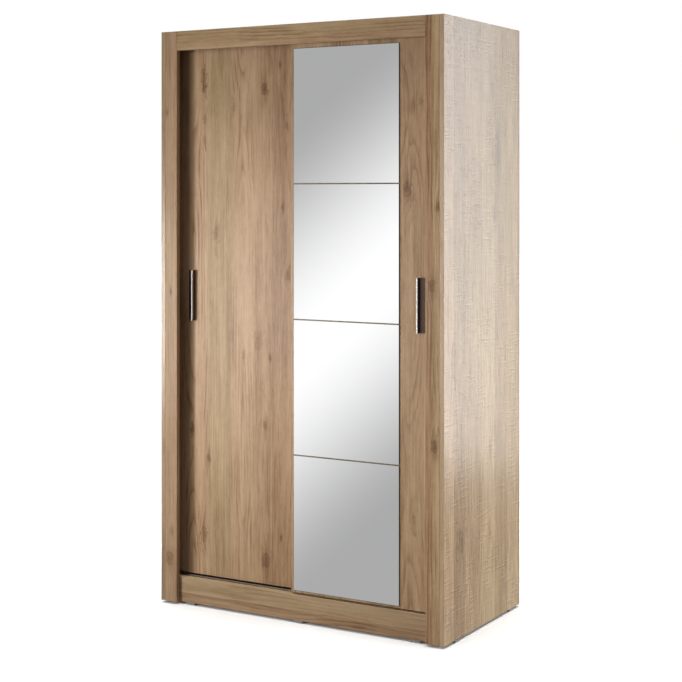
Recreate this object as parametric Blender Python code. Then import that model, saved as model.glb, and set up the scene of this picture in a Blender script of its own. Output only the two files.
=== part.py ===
"""A free-standing wardrobe with two sliding doors, built as its separate pieces.

Units are metres and +Z is up. The origin is on the floor, under the middle of the wardrobe. The front faces -Y,
and left and right are as seen from the front. The left door runs on the rear rail, and the right door, which
carries the mirror, runs on the front rail.
"""

import math

import bmesh
import bpy
from mathutils import Vector

# Overall size
WIDTH = 1.200
DEPTH = 0.620
HEIGHT = 2.155

# Boards, and how pieces meet
BOARD = 0.018
DOOR_BOARD = 0.016
BACK_BOARD = 0.003
SEAT = 0.0003
EDGE_ROUND = 0.0008
STILE_W = 0.054
FASCIA_H = 0.0725
PLINTH_H = 0.093
PLINTH_CLEARANCE = 0.0025
REAR_PLINTH_INSET = 0.030
BACK_INSET = 0.001
BACK_JOINT = 0.001

# Feet
FOOT_H = 0.009
FOOT_L = 0.038
FOOT_INSET = 0.122
FRONT_FOOT_INSET = 0.104
REAR_FOOT_INSET = 0.073

# Doors
FRAME_CLEARANCE = 0.003
DOOR_CLEARANCE = 0.004
DOOR_LIFT = 0.0065
DOOR_TOP_GAP = 0.025
DOOR_OVERLAP = 0.068
SIDE_PLAY = 0.004

# Mirror on the right door
MIRROR_T = 0.004
MIRROR_TILES = 4
MIRROR_LEAD_MARGIN = 0.0142
MIRROR_OUTER_MARGIN = 0.1636
MIRROR_FOOT_MARGIN = 0.008
MIRROR_HEAD_MARGIN = 0.0443
MIRROR_GAP = 0.0025

# Handles
HANDLE_L = 0.190
HANDLE_WALL = 0.006
HANDLE_PROJECTION = 0.020
HANDLE_FLANGE = 0.0225
HANDLE_FLANGE_T = 0.002
HANDLE_INSET = 0.085
HANDLE_HEIGHT = 1.052
HANDLE_ROUND = 0.0004

# Bottom track and its stops
TRACK_EDGE = 0.009
TRACK_BASE_T = 0.0012
TRACK_END_PLAY = 0.001
RIDGE_W = 0.003
RIDGE_H = 0.0033
STOP_L = 0.020
STOP_W = 0.014
STOP_RISE = 0.012
STOP_PLAY = 0.0005

# Rollers at the foot of each door
ROLLER_INSET = 0.060
ROLLER_DEPTH = 0.020
ROLLER_L = 0.060
HOUSING_ABOVE_AXIS = 0.034
HOUSING_BELOW_AXIS = 0.006
HOUSING_ROUND = 0.001
WHEEL_OFFSET = 0.010
WHEEL_W = 0.010
WHEEL_PLAY = 0.0005
WHEEL_GROOVE_R = 0.011
WHEEL_GROOVE_W = 0.0044
WHEEL_FLANGE_R = 0.0135
WHEEL_FLANGE_W = 0.002
WHEEL_ROOM = 0.002
AXLE_R = 0.002
AXLE_COVER = 0.002
RIVET_R = 0.0035
RIVET_T = 0.0012

# Top track, and the guides at the head of each door
TOP_TRACK_T = 0.0018
CHANNEL_WALL = 0.0015
CHANNEL_DEPTH = 0.018
GUIDE_T = 0.005
GUIDE_PLAY = 0.002
GUIDE_REACH = 0.009
GUIDE_L = 0.050
GUIDE_PLATE = 0.003
GUIDE_DROP = 0.036
GUIDE_WEB_DROP = 0.006

# Inner fittings
INNER_CLEARANCE = 0.004
SHELVES = 4
SHELF_PLAY = 0.001
SHELF_SETBACK = 0.010
HAT_SPACE = 0.300
RAIL_DROP = 0.060
RAIL_TALL = 0.030
RAIL_THICK = 0.015
RAIL_WALL = 0.001
SOCKET_DEPTH = 0.012
SOCKET_FLOOR = 0.002
SOCKET_WALL = 0.002
SOCKET_PLAY = 0.0004
RAIL_END_PLAY = 0.001

# Planes that the carcass gives
FRONT = -DEPTH / 2
REAR = DEPTH / 2
INNER_SIDE = WIDTH / 2 - BOARD
PANEL_REAR = REAR - BACK_BOARD - SEAT
STILE_BACK = FRONT + BOARD
PLINTH_FRONT = STILE_BACK + PLINTH_CLEARANCE
PLINTH_BACK = PLINTH_FRONT + BOARD
FLOOR_TOP = FOOT_H + PLINTH_H
CEILING = HEIGHT - BOARD

# Planes and sizes that the doors take from the carcass and the running gear
FRONT_DOOR_Y = STILE_BACK + FRAME_CLEARANCE + MIRROR_T
DOOR_GAP = max(ROLLER_DEPTH + RIVET_T, HANDLE_PROJECTION) + DOOR_CLEARANCE
TRACK_PITCH = DOOR_BOARD + DOOR_GAP
REAR_DOOR_Y = FRONT_DOOR_Y + TRACK_PITCH
FRONT_RAIL_Y = FRONT_DOOR_Y + DOOR_BOARD + WHEEL_OFFSET
DOOR_OUTER = INNER_SIDE - SIDE_PLAY
DOOR_INNER = -DOOR_OVERLAP / 2
DOOR_BOTTOM = FLOOR_TOP + DOOR_LIFT
DOOR_TOP = CEILING - DOOR_TOP_GAP
TRACK_FLOOR = FLOOR_TOP + SEAT + TRACK_BASE_T
RAIL_TOP = TRACK_FLOOR + RIDGE_H
AXIS_Z = RAIL_TOP + SEAT + WHEEL_GROOVE_R
GUIDE_SLOT = GUIDE_T + 2 * GUIDE_PLAY
INNER_FRONT = REAR_DOOR_Y + DOOR_BOARD + ROLLER_DEPTH + SEAT + RIVET_T + INNER_CLEARANCE

# Each door's name, the side it closes towards, and the plane of its front face
DOORS = (("left", -1, REAR_DOOR_Y), ("right", 1, FRONT_DOOR_Y))

WHEEL_STEPS = 24
AXLE_STEPS = 12
OVAL_STEPS = 8
CUT_PAST = 0.010


def clear_scene():
    for obj in list(bpy.data.objects):
        bpy.data.objects.remove(obj, do_unlink=True)


# Materials


def finish(name, colour, roughness, metallic=0.0):
    material = bpy.data.materials.new(name)
    material.use_nodes = True
    shader = material.node_tree.nodes["Principled BSDF"]
    shader.inputs["Base Color"].default_value = (*colour, 1.0)
    shader.inputs["Roughness"].default_value = roughness
    shader.inputs["Metallic"].default_value = metallic
    return material


def oak_decor(name):
    return finish(name, (0.40, 0.28, 0.18), 0.55)


def pale_hardboard(name):
    return finish(name, (0.62, 0.56, 0.47), 0.75)


def silvered_glass(name):
    return finish(name, (0.90, 0.91, 0.91), 0.02, 1.0)


def bronze_metal(name):
    return finish(name, (0.30, 0.25, 0.20), 0.35, 1.0)


def satin_aluminium(name):
    return finish(name, (0.62, 0.60, 0.58), 0.35, 1.0)


def chromed_steel(name):
    return finish(name, (0.80, 0.80, 0.80), 0.12, 1.0)


def zinc_plated_steel(name):
    return finish(name, (0.60, 0.60, 0.58), 0.30, 1.0)


def black_plastic(name):
    return finish(name, (0.03, 0.03, 0.03), 0.50)


def white_nylon(name):
    return finish(name, (0.80, 0.80, 0.77), 0.45)


# Ways of making a shape


def place(name, mesh, material, location, parent=None):
    """Adds the mesh as an object. The location is the scene's, also for a piece with a parent."""
    mesh.materials.append(material)
    obj = bpy.data.objects.new(name, mesh)
    obj.location = Vector(location) - (parent.location if parent else Vector())
    obj.parent = parent
    bpy.context.scene.collection.objects.link(obj)
    return obj


def mesh_of(name, form):
    """Turns a closed bmesh into a mesh whose faces point outwards."""
    bmesh.ops.recalc_face_normals(form, faces=form.faces)
    mesh = bpy.data.meshes.new(name)
    form.to_mesh(mesh)
    form.free()
    return mesh


def round_edges(obj, radius, segments):
    bevel = obj.modifiers.new("rounded_edges", "BEVEL")
    bevel.width = radius
    bevel.segments = segments
    bevel.limit_method = "ANGLE"


def shade_round(mesh):
    mesh.shade_smooth()
    mesh.set_sharp_from_angle(angle=math.radians(35))


def block_mesh(name, size):
    form = bmesh.new()
    bmesh.ops.create_cube(form, size=1.0)
    bmesh.ops.scale(form, vec=size, verts=form.verts)
    return mesh_of(name, form)


def board(name, low, high, material, parent=None, radius=EDGE_ROUND, segments=2):
    """A block between two corners, with its edges rounded."""
    low = Vector(low)
    high = Vector(high)
    obj = place(name, block_mesh(name, high - low), material, (low + high) / 2, parent)
    round_edges(obj, radius, segments)
    return obj


def along_x(a, b, distance):
    return (distance, a, b)


def along_z(a, b, distance):
    return (a, b, distance)


def prism_mesh(name, outline, length, point):
    """An outline drawn out by a length, centred on its plane. point turns (a, b, distance) into x, y, z."""
    form = bmesh.new()
    corners = [form.verts.new(point(a, b, -length / 2)) for a, b in outline]
    face = form.faces.new(corners)
    drawn = bmesh.ops.extrude_face_region(form, geom=[face])
    moved = [item for item in drawn["geom"] if isinstance(item, bmesh.types.BMVert)]
    bmesh.ops.translate(form, vec=point(0.0, 0.0, length), verts=moved)
    return mesh_of(name, form)


def turned_mesh(name, profile, steps, closed):
    """A profile of (radius, y) points turned about the Y axis."""
    form = bmesh.new()
    points = [form.verts.new((radius, y, 0.0)) for radius, y in profile]
    ends = points[1:] + points[:1] if closed else points[1:]
    edges = [form.edges.new(pair) for pair in zip(points, ends)]
    bmesh.ops.spin(
        form,
        geom=points + edges,
        cent=(0.0, 0.0, 0.0),
        axis=(0.0, 1.0, 0.0),
        angle=2 * math.pi,
        steps=steps,
        use_merge=True,
    )
    bmesh.ops.remove_doubles(form, verts=form.verts, dist=1e-6)
    mesh = mesh_of(name, form)
    shade_round(mesh)
    return mesh


def oval(thick, tall):
    """An upright oval with straight sides and half-round ends, as (y, z) points."""
    radius = thick / 2
    rise = tall / 2 - radius
    points = []
    for centre_z, start in ((rise, 0.0), (-rise, math.pi)):
        for step in range(OVAL_STEPS + 1):
            angle = start + math.pi * step / OVAL_STEPS
            points.append((radius * math.cos(angle), centre_z + radius * math.sin(angle)))
    return points


def shell_mesh(name, rings, through):
    """Outlines of equal length joined in order, each at its own x. through makes a tube, and otherwise the first
    and the last outline are closed."""
    form = bmesh.new()
    loops = [[form.verts.new((x, y, z)) for y, z in outline] for x, outline in rings]
    pairs = list(zip(loops, loops[1:]))
    if through:
        pairs.append((loops[-1], loops[0]))
    else:
        form.faces.new(loops[0])
        form.faces.new(loops[-1])
    for first, second in pairs:
        for corner in range(len(first)):
            after = (corner + 1) % len(first)
            form.faces.new((first[corner], first[after], second[after], second[corner]))
    mesh = mesh_of(name, form)
    shade_round(mesh)
    return mesh


def cut(obj, cutter):
    """Takes a hidden cutter out of the piece that it is placed in."""
    cutter.hide_render = True
    cutter.display_type = "WIRE"
    boolean = obj.modifiers.new("cut_" + cutter.name, "BOOLEAN")
    boolean.operation = "DIFFERENCE"
    boolean.object = cutter


# Carcass


def side_panels():
    for side, sign in (("left", -1), ("right", 1)):
        edges = sorted((sign * INNER_SIDE, sign * WIDTH / 2))
        name = "side_panel_" + side
        board(name, (edges[0], FRONT, FOOT_H), (edges[1], PANEL_REAR, HEIGHT), oak_decor(name))


def stiles():
    """The upright boards of the face frame, in front of the doors' outer edges."""
    for side, sign in (("left", -1), ("right", 1)):
        edges = sorted((sign * (INNER_SIDE - SEAT), sign * (INNER_SIDE - STILE_W)))
        name = "stile_" + side
        board(name, (edges[0], FRONT, FOOT_H), (edges[1], STILE_BACK, HEIGHT), oak_decor(name))


def fascia_top():
    reach = INNER_SIDE - STILE_W - SEAT
    low = (-reach, FRONT, HEIGHT - FASCIA_H)
    board("fascia_top", low, (reach, STILE_BACK, HEIGHT), oak_decor("fascia_top"))


def top_panel():
    reach = INNER_SIDE - SEAT
    low = (-reach, STILE_BACK + SEAT, CEILING)
    board("top_panel", low, (reach, PANEL_REAR, HEIGHT), oak_decor("top_panel"))


def bottom_panel():
    reach = INNER_SIDE - SEAT
    low = (-reach, PLINTH_BACK + SEAT, FLOOR_TOP - BOARD)
    high = (reach, PANEL_REAR, FLOOR_TOP)
    board("bottom_panel", low, high, oak_decor("bottom_panel"), segments=1)


def plinth_front():
    reach = INNER_SIDE - SEAT
    low = (-reach, PLINTH_FRONT, FOOT_H)
    board("plinth_front", low, (reach, PLINTH_BACK, FLOOR_TOP), oak_decor("plinth_front"))


def plinth_rear():
    reach = INNER_SIDE - SEAT
    back = REAR - REAR_PLINTH_INSET
    low = (-reach, back - BOARD, FOOT_H)
    high = (reach, back, FLOOR_TOP - BOARD - SEAT)
    board("plinth_rear", low, high, oak_decor("plinth_rear"), segments=1)


def partition():
    low = (-BOARD / 2, INNER_FRONT, FLOOR_TOP + SEAT)
    high = (BOARD / 2, PANEL_REAR, CEILING - SEAT)
    board("partition", low, high, oak_decor("partition"), segments=1)


def back_panels():
    """Two thin boards nailed to the rear edges, which meet on the partition."""
    for side, sign in (("left", -1), ("right", 1)):
        edges = sorted((sign * BACK_JOINT / 2, sign * (WIDTH / 2 - BACK_INSET)))
        low = (edges[0], REAR - BACK_BOARD, FLOOR_TOP - BOARD + BACK_INSET)
        high = (edges[1], REAR, HEIGHT - BACK_INSET)
        name = "back_panel_" + side
        board(name, low, high, pale_hardboard(name), radius=EDGE_ROUND / 2, segments=1)


def foot(name, x, y, length_x, length_y):
    low = (x - length_x / 2, y - length_y / 2, 0.0)
    high = (x + length_x / 2, y + length_y / 2, FOOT_H - SEAT)
    board(name, low, high, black_plastic(name), segments=1)


def feet():
    """Glides nailed under the two plinths and the two side panels."""
    plinth_x = WIDTH / 2 - FOOT_INSET
    rear_y = REAR - REAR_PLINTH_INSET - BOARD / 2
    for side, x in (("left", -plinth_x), ("middle", 0.0), ("right", plinth_x)):
        foot("foot_front_" + side, x, PLINTH_FRONT + BOARD / 2, FOOT_L, BOARD)
        foot("foot_rear_" + side, x, rear_y, FOOT_L, BOARD)
    for side, sign in (("left", -1), ("right", 1)):
        x = sign * (WIDTH - BOARD) / 2
        foot("foot_side_" + side + "_front", x, FRONT + FRONT_FOOT_INSET, BOARD, FOOT_L)
        foot("foot_side_" + side + "_rear", x, REAR - REAR_FOOT_INSET, BOARD, FOOT_L)


# Inside the two bays


def shelf(name, inner, outer, underside):
    """A shelf between the partition and a side panel, whose x values are inner and outer."""
    edges = sorted((inner, outer))
    low = (edges[0] + SHELF_PLAY, INNER_FRONT + SHELF_SETBACK, underside)
    high = (edges[1] - SHELF_PLAY, PANEL_REAR - SHELF_PLAY, underside + BOARD)
    board(name, low, high, oak_decor(name), segments=1)


def left_bay_shelves():
    """Shelves that divide the left bay into equal compartments."""
    opening = (CEILING - FLOOR_TOP - SHELVES * BOARD) / (SHELVES + 1)
    for number in range(1, SHELVES + 1):
        underside = FLOOR_TOP + number * opening + (number - 1) * BOARD
        shelf(f"shelf_{number}", -BOARD / 2, -INNER_SIDE, underside)


def hanging_bay():
    """The hat shelf, and below it the oval rail in its two sockets."""
    underside = CEILING - HAT_SPACE - BOARD
    shelf("hat_shelf", BOARD / 2, INNER_SIDE, underside)
    middle_y = (INNER_FRONT + PANEL_REAR) / 2
    rail_z = underside - RAIL_DROP
    hanging_rail(middle_y, rail_z)
    rail_socket("rail_socket_left", (BOARD / 2 + SEAT, middle_y, rail_z), 0.0)
    rail_socket("rail_socket_right", (INNER_SIDE - SEAT, middle_y, rail_z), math.pi)


def hanging_rail(y, z):
    start = BOARD / 2 + SEAT + SOCKET_FLOOR + RAIL_END_PLAY
    length = INNER_SIDE - SEAT - SOCKET_FLOOR - RAIL_END_PLAY - start
    outer = oval(RAIL_THICK, RAIL_TALL)
    inner = oval(RAIL_THICK - 2 * RAIL_WALL, RAIL_TALL - 2 * RAIL_WALL)
    rings = ((0.0, outer), (length, outer), (length, inner), (0.0, inner))
    mesh = shell_mesh("hanging_rail", rings, through=True)
    place("hanging_rail", mesh, chromed_steel("hanging_rail"), (start, y, z))


def rail_socket(name, location, turn):
    """A cup that opens towards the middle of the bay."""
    pocket = oval(RAIL_THICK + 2 * SOCKET_PLAY, RAIL_TALL + 2 * SOCKET_PLAY)
    wall = SOCKET_PLAY + SOCKET_WALL
    outer = oval(RAIL_THICK + 2 * wall, RAIL_TALL + 2 * wall)
    rings = ((0.0, outer), (SOCKET_DEPTH, outer), (SOCKET_DEPTH, pocket), (SOCKET_FLOOR, pocket))
    mesh = shell_mesh(name, rings, through=False)
    obj = place(name, mesh, zinc_plated_steel(name), location)
    obj.rotation_euler.z = turn


# Tracks


def bottom_track():
    """A flat strip with two ridges that the wheels run on."""
    half_ridge = RIDGE_W / 2
    top = TRACK_BASE_T + RIDGE_H
    outline = [(-TRACK_EDGE, TRACK_BASE_T), (-TRACK_EDGE, 0.0)]
    outline += [(TRACK_PITCH + TRACK_EDGE, 0.0), (TRACK_PITCH + TRACK_EDGE, TRACK_BASE_T)]
    for centre in (TRACK_PITCH, 0.0):
        outline += [(centre + half_ridge, TRACK_BASE_T), (centre + half_ridge, top)]
        outline += [(centre - half_ridge, top), (centre - half_ridge, TRACK_BASE_T)]
    length = 2 * (INNER_SIDE - TRACK_END_PLAY)
    mesh = prism_mesh("bottom_track", outline, length, along_x)
    place("bottom_track", mesh, satin_aluminium("bottom_track"), (0.0, FRONT_RAIL_Y, FLOOR_TOP + SEAT))


def top_track():
    """A strip with two channels, open below, that the doors' guides run in."""
    inner = GUIDE_SLOT / 2
    outer = inner + CHANNEL_WALL
    outline = [(-TRACK_EDGE, 0.0), (-TRACK_EDGE, -TOP_TRACK_T)]
    for centre in (0.0, TRACK_PITCH):
        for start, end in ((-outer, -inner), (inner, outer)):
            outline += [(centre + start, -TOP_TRACK_T), (centre + start, -CHANNEL_DEPTH)]
            outline += [(centre + end, -CHANNEL_DEPTH), (centre + end, -TOP_TRACK_T)]
    outline += [(TRACK_PITCH + TRACK_EDGE, -TOP_TRACK_T), (TRACK_PITCH + TRACK_EDGE, 0.0)]
    length = 2 * (INNER_SIDE - TRACK_END_PLAY)
    mesh = prism_mesh("top_track", outline, length, along_x)
    place("top_track", mesh, satin_aluminium("top_track"), (0.0, FRONT_RAIL_Y, CEILING - SEAT))


def track_stops():
    """Saddles over the ridges, which the roller housings meet at both ends of their travel."""
    half = STOP_W / 2
    groove = RIDGE_W / 2 + SEAT
    height = RAIL_TOP + STOP_RISE - TRACK_FLOOR - SEAT
    outline = [(-half, height), (-half, 0.0), (-groove, 0.0), (-groove, RIDGE_H)]
    outline += [(groove, RIDGE_H), (groove, 0.0), (half, 0.0), (half, height)]
    x = DOOR_OUTER - ROLLER_INSET + ROLLER_L / 2 + STOP_PLAY + STOP_L / 2
    for rail, y in (("front", FRONT_RAIL_Y), ("rear", FRONT_RAIL_Y + TRACK_PITCH)):
        for side, sign in (("left", -1), ("right", 1)):
            name = "track_stop_" + rail + "_" + side
            mesh = prism_mesh(name, outline, STOP_L, along_x)
            place(name, mesh, black_plastic(name), (sign * x, y, TRACK_FLOOR + SEAT))


# Doors


def door_empty(side, sign, front_y):
    """The door's moving frame, on its rail and under the middle of the door."""
    empty = bpy.data.objects.new("door_" + side, None)
    empty.location = (sign * (DOOR_INNER + DOOR_OUTER) / 2, front_y + DOOR_BOARD + WHEEL_OFFSET, RAIL_TOP)
    bpy.context.scene.collection.objects.link(empty)
    return empty


def door_panel(side, sign, front_y, door):
    edges = sorted((sign * DOOR_INNER, sign * DOOR_OUTER))
    name = "door_panel_" + side
    low = (edges[0], front_y, DOOR_BOTTOM)
    board(name, low, (edges[1], front_y + DOOR_BOARD, DOOR_TOP), oak_decor(name), door)


def mirror_tiles(door):
    """Glass tiles in one column on the right door, with a narrow joint between them."""
    left = DOOR_INNER + MIRROR_LEAD_MARGIN
    right = DOOR_OUTER - MIRROR_OUTER_MARGIN
    foot_z = DOOR_BOTTOM + MIRROR_FOOT_MARGIN
    head_z = DOOR_TOP - MIRROR_HEAD_MARGIN
    tall = (head_z - foot_z - (MIRROR_TILES - 1) * MIRROR_GAP) / MIRROR_TILES
    for number in range(MIRROR_TILES):
        start = foot_z + number * (tall + MIRROR_GAP)
        name = f"mirror_tile_{number + 1}"
        low = (left, FRONT_DOOR_Y - MIRROR_T, start)
        high = (right, FRONT_DOOR_Y - SEAT, start + tall)
        board(name, low, high, silvered_glass(name), door, EDGE_ROUND / 2, 1)


def handle(side, sign, front_y, door):
    """An angle profile: a wall that stands out from the door, and a flange that lies on it behind the fingers."""
    wall = HANDLE_WALL / 2
    reach = wall + HANDLE_FLANGE
    outline = [(-wall, -HANDLE_PROJECTION), (wall, -HANDLE_PROJECTION), (wall, -SEAT - HANDLE_FLANGE_T)]
    outline += [(reach, -SEAT - HANDLE_FLANGE_T), (reach, -SEAT), (-wall, -SEAT)]
    name = "handle_" + side
    mesh = prism_mesh(name, [(sign * a, b) for a, b in outline], HANDLE_L, along_z)
    location = (sign * (DOOR_OUTER - HANDLE_INSET), front_y, DOOR_BOTTOM + HANDLE_HEIGHT)
    round_edges(place(name, mesh, bronze_metal(name), location, door), HANDLE_ROUND, 1)


def top_guide(name, x, back_y, door):
    """A fixed tongue on a cranked plate. The door is hung by lifting the tongue into its channel first."""
    plate = SEAT + GUIDE_PLATE
    near = WHEEL_OFFSET - GUIDE_T / 2
    far = WHEEL_OFFSET + GUIDE_T / 2
    web = -GUIDE_WEB_DROP
    tip = CEILING - SEAT - CHANNEL_DEPTH + GUIDE_REACH - DOOR_TOP
    outline = [(SEAT, web), (SEAT, -GUIDE_DROP), (plate, -GUIDE_DROP), (plate, web - GUIDE_PLATE)]
    outline += [(far, web - GUIDE_PLATE), (far, tip), (near, tip), (near, web)]
    mesh = prism_mesh(name, outline, GUIDE_L, along_x)
    place(name, mesh, black_plastic(name), (x, back_y, DOOR_TOP), door)


def roller_housing(name, x, back_y, door):
    """A block on the back of the door with a slot for the wheel, open below, and a bore for the axle."""
    low = (x - ROLLER_L / 2, back_y + SEAT, AXIS_Z - HOUSING_BELOW_AXIS)
    high = (x + ROLLER_L / 2, back_y + ROLLER_DEPTH, AXIS_Z + HOUSING_ABOVE_AXIS)
    housing = board(name, low, high, black_plastic(name), door, HOUSING_ROUND, 1)
    axis = Vector((x, back_y + WHEEL_OFFSET, AXIS_Z))
    cut(housing, wheel_slot(name + "_slot", axis, door))
    cut(housing, axle_bore(name + "_bore", axis, door))


def wheel_slot(name, axis, door):
    half_x = WHEEL_FLANGE_R + WHEEL_ROOM
    half_y = WHEEL_W / 2 + WHEEL_PLAY
    low = Vector((-half_x, -half_y, -HOUSING_BELOW_AXIS - CUT_PAST))
    high = Vector((half_x, half_y, half_x))
    mesh = block_mesh(name, high - low)
    return place(name, mesh, black_plastic(name), axis + (low + high) / 2, door)


def axle_bore(name, axis, door):
    radius = AXLE_R + SEAT
    start = AXLE_COVER - SEAT - WHEEL_OFFSET
    end = ROLLER_DEPTH - WHEEL_OFFSET + CUT_PAST
    profile = [(0.0, start), (radius, start), (radius, end), (0.0, end)]
    return place(name, turned_mesh(name, profile, AXLE_STEPS, False), black_plastic(name), axis, door)


def roller_wheel(name, x, back_y, door):
    """A grooved wheel that straddles the ridge. Its own origin is on its axis."""
    rim = WHEEL_W / 2
    shoulder = rim - WHEEL_FLANGE_W
    groove = WHEEL_GROOVE_W / 2
    bore = AXLE_R + SEAT
    profile = [(bore, -rim), (WHEEL_FLANGE_R, -rim), (WHEEL_FLANGE_R, -shoulder)]
    profile += [(WHEEL_GROOVE_R, -groove), (WHEEL_GROOVE_R, groove)]
    profile += [(WHEEL_FLANGE_R, shoulder), (WHEEL_FLANGE_R, rim), (bore, rim)]
    mesh = turned_mesh(name, profile, WHEEL_STEPS, True)
    place(name, mesh, white_nylon(name), (x, back_y + WHEEL_OFFSET, AXIS_Z), door)


def roller_axle(name, x, back_y, door):
    """A pin from the door side of the housing to its rivet head behind."""
    start = AXLE_COVER - WHEEL_OFFSET
    seat = ROLLER_DEPTH - WHEEL_OFFSET + SEAT
    head = seat + RIVET_T
    profile = [(0.0, start), (AXLE_R, start), (AXLE_R, seat), (RIVET_R, seat), (RIVET_R, head), (0.0, head)]
    mesh = turned_mesh(name, profile, AXLE_STEPS, False)
    place(name, mesh, zinc_plated_steel(name), (x, back_y + WHEEL_OFFSET, AXIS_Z), door)


def doors():
    for side, sign, front_y in DOORS:
        door = door_empty(side, sign, front_y)
        door_panel(side, sign, front_y, door)
        handle(side, sign, front_y, door)
        if side == "right":
            mirror_tiles(door)
        back_y = front_y + DOOR_BOARD
        ends = (("inner", sign * (DOOR_INNER + ROLLER_INSET)), ("outer", sign * (DOOR_OUTER - ROLLER_INSET)))
        for end, x in ends:
            tail = side + "_" + end
            roller_housing("roller_housing_" + tail, x, back_y, door)
            roller_wheel("roller_wheel_" + tail, x, back_y, door)
            roller_axle("roller_axle_" + tail, x, back_y, door)
            top_guide("top_guide_" + tail, x, back_y, door)


def main():
    clear_scene()
    side_panels()
    stiles()
    fascia_top()
    top_panel()
    bottom_panel()
    plinth_front()
    plinth_rear()
    partition()
    back_panels()
    feet()
    left_bay_shelves()
    hanging_bay()
    bottom_track()
    top_track()
    track_stops()
    doors()


main()
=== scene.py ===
# %% [markdown]
# # A wardrobe with two sliding doors
#
# This script dresses a finished wardrobe. The boards, doors, rollers and tracks come in as plain solids, in
# metres, each already in its place. What follows gives every piece its real surface, and adds the small
# fittings that hold such furniture together: screws, nails, cam locks and shelf pins.
#
# The wardrobe stands on the floor with its doors facing -Y. Left and right are as seen from the front.

# %% Load the wardrobe
import math

import bmesh
import bpy
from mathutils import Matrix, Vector


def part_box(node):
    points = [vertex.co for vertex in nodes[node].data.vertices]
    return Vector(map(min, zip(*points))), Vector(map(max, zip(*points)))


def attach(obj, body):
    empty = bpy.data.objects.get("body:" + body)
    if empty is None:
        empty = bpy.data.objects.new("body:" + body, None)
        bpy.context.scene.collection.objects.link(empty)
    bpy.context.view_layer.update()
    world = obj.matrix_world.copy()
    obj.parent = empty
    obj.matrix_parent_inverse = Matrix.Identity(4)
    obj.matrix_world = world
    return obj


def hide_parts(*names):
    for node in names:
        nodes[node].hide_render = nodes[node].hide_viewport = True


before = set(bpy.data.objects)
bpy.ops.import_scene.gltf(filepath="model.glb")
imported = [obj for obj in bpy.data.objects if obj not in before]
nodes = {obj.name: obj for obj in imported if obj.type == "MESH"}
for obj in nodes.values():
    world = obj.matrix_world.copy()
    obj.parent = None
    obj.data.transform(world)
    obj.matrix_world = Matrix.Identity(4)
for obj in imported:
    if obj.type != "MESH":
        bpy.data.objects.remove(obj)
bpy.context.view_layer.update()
scene = bpy.context.scene

# %% [markdown]
# ## The camera
#
# A wardrobe is tall, so a camera that tilts up or down would make its sides lean. Product photographers
# keep the camera level and shift the lens instead, and Blender's camera has the same shift. It is given as
# a share of the picture's width. The camera stands to the right of the wardrobe, a little lower than eye
# height.

# %% Camera
CAMERA_PLACE = (2.9223, -4.8381, 1.5471)
CAMERA_TURN = 29.61
LENS = 79.24
SHIFT = (-0.0566, -0.2170)


def make_camera():
    data = bpy.data.cameras.new("product_camera")
    data.lens = LENS
    data.shift_x, data.shift_y = SHIFT
    camera = bpy.data.objects.new("product_camera", data)
    camera.location = CAMERA_PLACE
    camera.rotation_euler = (math.radians(90), 0, math.radians(CAMERA_TURN))
    scene.collection.objects.link(camera)
    scene.camera = camera


make_camera()
print("camera", CAMERA_PLACE, "lens", LENS, "mm")

# %% [markdown]
# ## A helper for node trees
#
# Materials, the sky and Geometry Nodes are all trees of nodes. Adding each node and each link by hand takes
# many lines, so this helper does both at once: it adds a node, and joins to its inputs either plain numbers
# or the outputs of other nodes.

# %% Wiring helper


def opaque(colour):
    """Adds the alpha to a colour given as red, green and blue. A node's output passes unchanged."""
    return (*colour, 1.0) if isinstance(colour, tuple) else colour


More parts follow.
